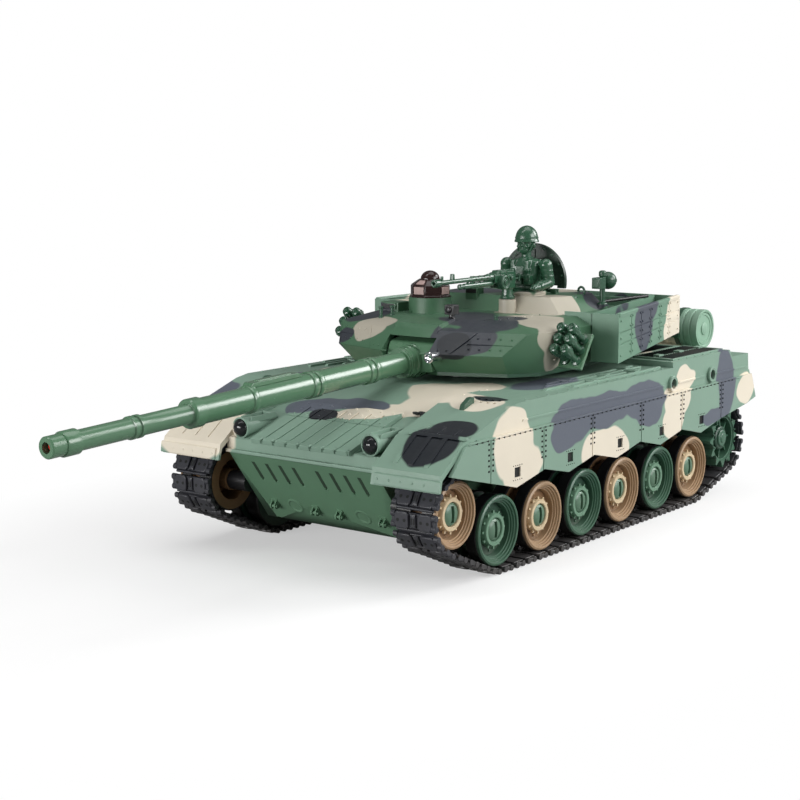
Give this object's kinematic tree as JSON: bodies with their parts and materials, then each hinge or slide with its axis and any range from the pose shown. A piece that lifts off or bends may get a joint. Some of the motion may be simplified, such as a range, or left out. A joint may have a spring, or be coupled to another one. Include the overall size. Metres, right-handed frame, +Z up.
{
  "type": "remote control toy tank",
  "caption": "Remote control toy battle tank with tracks on six road wheels a side, side skirts, a turning turret, an elevating gun, roof machine gun, hatch and crew figure.",
  "frame": {"origin": "bottom centre of the bounding box, on the ground under the middle of the overall length", "axes": "-Y towards the gun muzzle (front), +X towards the tank's left side, +Z up"},
  "size_m": [0.16, 0.42, 0.1433],
  "materials": {
    "camo": "satin moulded plastic with camouflage print",
    "green": "satin moulded plastic",
    "tan": "satin moulded plastic",
    "dark_green": "semi-gloss moulded plastic",
    "track": "matt rubber",
    "steel": "bright",
    "chrome": "plated",
    "red": "clear tinted",
    "smoked": "smoked clear",
    "board": "coated",
    "gear": "moulded",
    "cells": "sleeved",
    "black": "moulded"
  },
  "bodies": {
    "hull": {"upper_hull": "camo", "glacis_armour": "camo", "side_skirt_left": "camo", "side_skirt_right": "camo", "fuel_drums": "camo", "lower_hull": "green", "battery_door": "green", "engine_grille": "dark_green", "track_left": "track", "track_right": "track", "hull_screws": "steel", "motors": "steel", "headlight_lenses": "chrome", "circuit_board": "board", "battery_pack": "cells", "wheel_axles": "black", "speaker": "black", "gearbox_plates": "black"},
    "turret": {"turret_base": "dark_green", "turret_shell": "camo", "turret_ring_gear": "gear", "stowage_baskets": "camo", "smoke_launchers": "dark_green", "receiver_dome": "smoked", "warning_mast": "black", "turret_lamps": "chrome", "elevation_motor": "steel", "commander_torso": "dark_green"},
    "gun": {"gun_mantlet": "green", "gun_barrel": "dark_green", "muzzle_lamp": "red"},
    "sprocket_left": {"sprocket_left": "green"},
    "sprocket_right": {"sprocket_right": "green"},
    "compound_gear_left": {"compound_gear_left": "gear"},
    "compound_gear_right": {"compound_gear_right": "gear"},
    "motor_pinion_left": {"motor_pinion_left": "steel"},
    "motor_pinion_right": {"motor_pinion_right": "steel"},
    "idler_left": {"idler_left": "tan"},
    "idler_right": {"idler_right": "tan"},
    "turret_pinion": {"turret_pinion": "steel"},
    "elevation_pinion": {"elevation_pinion": "gear"},
    "machine_gun": {"machine_gun": "dark_green"},
    "hatch_cover": {"hatch_cover": "dark_green"},
    "commander_head": {"commander_head": "dark_green"},
    "commander_arm_left": {"commander_arm_left": "dark_green"},
    "commander_arm_right": {"commander_arm_right": "dark_green"},
    "power_switch": {"power_switch": "black"},
    "road_wheel_left_1": {"road_wheel_left_1": "green"},
    "road_wheel_left_2": {"road_wheel_left_2": "tan"},
    "road_wheel_left_3": {"road_wheel_left_3": "green"},
    "road_wheel_left_4": {"road_wheel_left_4": "tan"},
    "road_wheel_left_5": {"road_wheel_left_5": "green"},
    "road_wheel_left_6": {"road_wheel_left_6": "tan"},
    "road_wheel_right_1": {"road_wheel_right_1": "green"},
    "road_wheel_right_2": {"road_wheel_right_2": "tan"},
    "road_wheel_right_3": {"road_wheel_right_3": "green"},
    "road_wheel_right_4": {"road_wheel_right_4": "tan"},
    "road_wheel_right_5": {"road_wheel_right_5": "green"},
    "road_wheel_right_6": {"road_wheel_right_6": "tan"}
  },
  "joints": [
    {"name": "turret_yaw", "type": "hinge", "parent": "hull", "child": "turret", "pos_m": [0, 0.06398, 0.0772], "axis": [0, 0, 1], "range_deg": [-115, 115]},
    {"name": "turret_pinion_spin", "type": "hinge", "parent": "hull", "child": "turret_pinion", "pos_m": [0, 0.10748, 0.069], "axis": [0, 0, 1], "range_deg": [-560, 560]},
    {"name": "gun_elevation", "type": "hinge", "parent": "turret", "child": "gun", "pos_m": [0, 0.02098, 0.0837], "axis": [-1, 0, 0], "range_deg": [0, 14]},
    {"name": "elevation_pinion_spin", "type": "hinge", "parent": "turret", "child": "elevation_pinion", "pos_m": [0, 0.03848, 0.0837], "axis": [-1, 0, 0], "range_deg": [-60, 4]},
    {"name": "machine_gun_swivel", "type": "hinge", "parent": "turret", "child": "machine_gun", "pos_m": [0.0125, 0.07048, 0.109], "axis": [0, 0, 1], "range_deg": [-20, 20]},
    {"name": "hatch_hinge", "type": "hinge", "parent": "turret", "child": "hatch_cover", "pos_m": [0.009, 0.09998, 0.1102], "axis": [-1, 0, 0], "range_deg": [0, 65]},
    {"name": "head_turn", "type": "hinge", "parent": "turret", "child": "commander_head", "pos_m": [0.0125, 0.08698, 0.1276], "axis": [0, 0, 1], "range_deg": [-40, 40]},
    {"name": "arm_left_swing", "type": "hinge", "parent": "turret", "child": "commander_arm_left", "pos_m": [0.0239, 0.08698, 0.1246], "axis": [-1, 0, 0], "range_deg": [0, 45]},
    {"name": "arm_right_swing", "type": "hinge", "parent": "turret", "child": "commander_arm_right", "pos_m": [0.0011, 0.08698, 0.1246], "axis": [-1, 0, 0], "range_deg": [0, 45]},
    {"name": "power_switch_slide", "type": "slide", "parent": "hull", "child": "power_switch", "axis": [0, 1, 0], "range_m": [0, 0.004]},
    {"name": "sprocket_left_spin", "type": "hinge", "parent": "hull", "child": "sprocket_left", "pos_m": [0.063, 0.18638, 0.0286], "axis": [1, 0, 0], "continuous": true},
    {"name": "compound_gear_left_spin", "type": "hinge", "parent": "hull", "child": "compound_gear_left", "pos_m": [0.029, 0.17143, 0.0286], "axis": [1, 0, 0], "continuous": true},
    {"name": "motor_pinion_left_spin", "type": "hinge", "parent": "hull", "child": "motor_pinion_left", "pos_m": [0.027, 0.15843, 0.0286], "axis": [1, 0, 0], "continuous": true},
    {"name": "idler_left_spin", "type": "hinge", "parent": "hull", "child": "idler_left", "pos_m": [0.063, -0.05652, 0.0312], "axis": [1, 0, 0], "continuous": true},
    {"name": "road_wheel_left_1_spin", "type": "hinge", "parent": "hull", "child": "road_wheel_left_1", "pos_m": [0.063, -0.02482, 0.0188], "axis": [1, 0, 0], "continuous": true},
    {"name": "road_wheel_left_2_spin", "type": "hinge", "parent": "hull", "child": "road_wheel_left_2", "pos_m": [0.063, 0.01038, 0.0188], "axis": [1, 0, 0], "continuous": true},
    {"name": "road_wheel_left_3_spin", "type": "hinge", "parent": "hull", "child": "road_wheel_left_3", "pos_m": [0.063, 0.04558, 0.0188], "axis": [1, 0, 0], "continuous": true},
    {"name": "road_wheel_left_4_spin", "type": "hinge", "parent": "hull", "child": "road_wheel_left_4", "pos_m": [0.063, 0.08078, 0.0188], "axis": [1, 0, 0], "continuous": true},
    {"name": "road_wheel_left_5_spin", "type": "hinge", "parent": "hull", "child": "road_wheel_left_5", "pos_m": [0.063, 0.11598, 0.0188], "axis": [1, 0, 0], "continuous": true},
    {"name": "road_wheel_left_6_spin", "type": "hinge", "parent": "hull", "child": "road_wheel_left_6", "pos_m": [0.063, 0.15118, 0.0188], "axis": [1, 0, 0], "continuous": true},
    {"name": "sprocket_right_spin", "type": "hinge", "parent": "hull", "child": "sprocket_right", "pos_m": [-0.063, 0.18638, 0.0286], "axis": [1, 0, 0], "continuous": true},
    {"name": "compound_gear_right_spin", "type": "hinge", "parent": "hull", "child": "compound_gear_right", "pos_m": [-0.029, 0.17143, 0.0286], "axis": [1, 0, 0], "continuous": true},
    {"name": "motor_pinion_right_spin", "type": "hinge", "parent": "hull", "child": "motor_pinion_right", "pos_m": [-0.027, 0.15843, 0.0286], "axis": [1, 0, 0], "continuous": true},
    {"name": "idler_right_spin", "type": "hinge", "parent": "hull", "child": "idler_right", "pos_m": [-0.063, -0.05652, 0.0312], "axis": [1, 0, 0], "continuous": true},
    {"name": "road_wheel_right_1_spin", "type": "hinge", "parent": "hull", "child": "road_wheel_right_1", "pos_m": [-0.063, -0.02482, 0.0188], "axis": [1, 0, 0], "continuous": true},
    {"name": "road_wheel_right_2_spin", "type": "hinge", "parent": "hull", "child": "road_wheel_right_2", "pos_m": [-0.063, 0.01038, 0.0188], "axis": [1, 0, 0], "continuous": true},
    {"name": "road_wheel_right_3_spin", "type": "hinge", "parent": "hull", "child": "road_wheel_right_3", "pos_m": [-0.063, 0.04558, 0.0188], "axis": [1, 0, 0], "continuous": true},
    {"name": "road_wheel_right_4_spin", "type": "hinge", "parent": "hull", "child": "road_wheel_right_4", "pos_m": [-0.063, 0.08078, 0.0188], "axis": [1, 0, 0], "continuous": true},
    {"name": "road_wheel_right_5_spin", "type": "hinge", "parent": "hull", "child": "road_wheel_right_5", "pos_m": [-0.063, 0.11598, 0.0188], "axis": [1, 0, 0], "continuous": true},
    {"name": "road_wheel_right_6_spin", "type": "hinge", "parent": "hull", "child": "road_wheel_right_6", "pos_m": [-0.063, 0.15118, 0.0188], "axis": [1, 0, 0], "continuous": true}
  ],
  "couplings": [
    {"joint": "turret_pinion_spin", "follows": "turret_yaw", "ratio": -4.8},
    {"joint": "elevation_pinion_spin", "follows": "gun_elevation", "ratio": -4},
    {"joint": "compound_gear_left_spin", "follows": "sprocket_left_spin", "ratio": -3.6},
    {"joint": "motor_pinion_left_spin", "follows": "sprocket_left_spin", "ratio": 10.8},
    {"joint": "idler_left_spin", "follows": "sprocket_left_spin", "ratio": 1.0685},
    {"joint": "road_wheel_left_1_spin", "follows": "sprocket_left_spin", "ratio": 0.99363},
    {"joint": "road_wheel_left_2_spin", "follows": "sprocket_left_spin", "ratio": 0.99363},
    {"joint": "road_wheel_left_3_spin", "follows": "sprocket_left_spin", "ratio": 0.99363},
    {"joint": "road_wheel_left_4_spin", "follows": "sprocket_left_spin", "ratio": 0.99363},
    {"joint": "road_wheel_left_5_spin", "follows": "sprocket_left_spin", "ratio": 0.99363},
    {"joint": "road_wheel_left_6_spin", "follows": "sprocket_left_spin", "ratio": 0.99363},
    {"joint": "compound_gear_right_spin", "follows": "sprocket_right_spin", "ratio": -3.6},
    {"joint": "motor_pinion_right_spin", "follows": "sprocket_right_spin", "ratio": 10.8},
    {"joint": "idler_right_spin", "follows": "sprocket_right_spin", "ratio": 1.0685},
    {"joint": "road_wheel_right_1_spin", "follows": "sprocket_right_spin", "ratio": 0.99363},
    {"joint": "road_wheel_right_2_spin", "follows": "sprocket_right_spin", "ratio": 0.99363},
    {"joint": "road_wheel_right_3_spin", "follows": "sprocket_right_spin", "ratio": 0.99363},
    {"joint": "road_wheel_right_4_spin", "follows": "sprocket_right_spin", "ratio": 0.99363},
    {"joint": "road_wheel_right_5_spin", "follows": "sprocket_right_spin", "ratio": 0.99363},
    {"joint": "road_wheel_right_6_spin", "follows": "sprocket_right_spin", "ratio": 0.99363}
  ]
}
